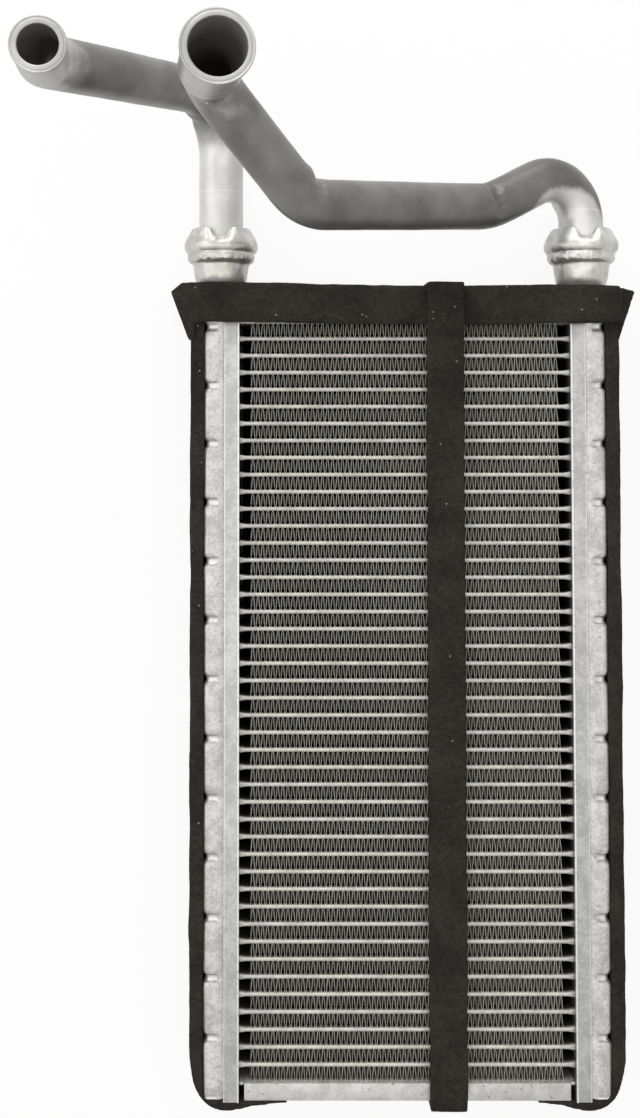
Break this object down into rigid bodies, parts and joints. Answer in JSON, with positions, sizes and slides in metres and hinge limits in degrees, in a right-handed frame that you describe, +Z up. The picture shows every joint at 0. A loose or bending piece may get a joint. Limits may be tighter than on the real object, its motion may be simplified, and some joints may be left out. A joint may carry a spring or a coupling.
{
  "type": "heater core",
  "caption": "Brazed heater core with side tanks, flat tubes and corrugated fins, clinched unions, two bent coolant pipes and glued foam seals.",
  "frame": {"origin": "middle of the foam strap's back, which the part lies on", "axes": "+X across the core to the large pipe's tank, +Y along the tanks towards the pipes, +Z up from the back the part lies on"},
  "size_m": [0.2022, 0.3628, 0.1559],
  "materials": {
    "tank": "light matte silver grey, drawn and brazed",
    "header": "satin, with bright pressed edges",
    "tube": "mottled light grey brazing skin",
    "fin": "thin dull sheet",
    "side_plate": "dull brazed sheet",
    "union": "bright, hammered by the clinching",
    "pipe": "satin grey with fine scratches",
    "seal": "dull black",
    "foam": "matt charcoal open-cell foam"
  },
  "bodies": {
    "root": {"fin_strips": "fin", "flat_tube_01": "tube", "flat_tube_02": "tube", "flat_tube_03": "tube", "flat_tube_04": "tube", "flat_tube_05": "tube", "flat_tube_06": "tube", "flat_tube_07": "tube", "flat_tube_08": "tube", "flat_tube_09": "tube", "flat_tube_10": "tube", "flat_tube_11": "tube", "flat_tube_12": "tube", "flat_tube_13": "tube", "flat_tube_14": "tube", "flat_tube_15": "tube", "flat_tube_16": "tube", "flat_tube_17": "tube", "flat_tube_18": "tube", "flat_tube_19": "tube", "flat_tube_20": "tube", "flat_tube_21": "tube", "flat_tube_22": "tube", "flat_tube_23": "tube", "flat_tube_24": "tube", "flat_tube_25": "tube", "flat_tube_26": "tube", "flat_tube_27": "tube", "flat_tube_28": "tube", "flat_tube_29": "tube", "flat_tube_30": "tube", "flat_tube_31": "tube", "flat_tube_32": "tube", "flat_tube_33": "tube", "flat_tube_34": "tube", "flat_tube_35": "tube", "flat_tube_36": "tube", "flat_tube_37": "tube", "flat_tube_38": "tube", "flat_tube_39": "tube", "flat_tube_40": "tube", "flat_tube_41": "tube", "flat_tube_42": "tube", "flat_tube_43": "tube", "foam_strap": "foam", "foam_strip_left": "foam", "foam_strip_right": "foam", "foam_top_band": "foam", "header_plate_left": "header", "header_plate_right": "header", "large_end_pipe": "pipe", "pipe_seals": "seal", "pipe_unions": "union", "side_plate_bottom": "side_plate", "side_plate_top": "side_plate", "small_end_pipe": "pipe", "tank_left": "tank", "tank_right": "tank"}
  },
  "joints": []
}
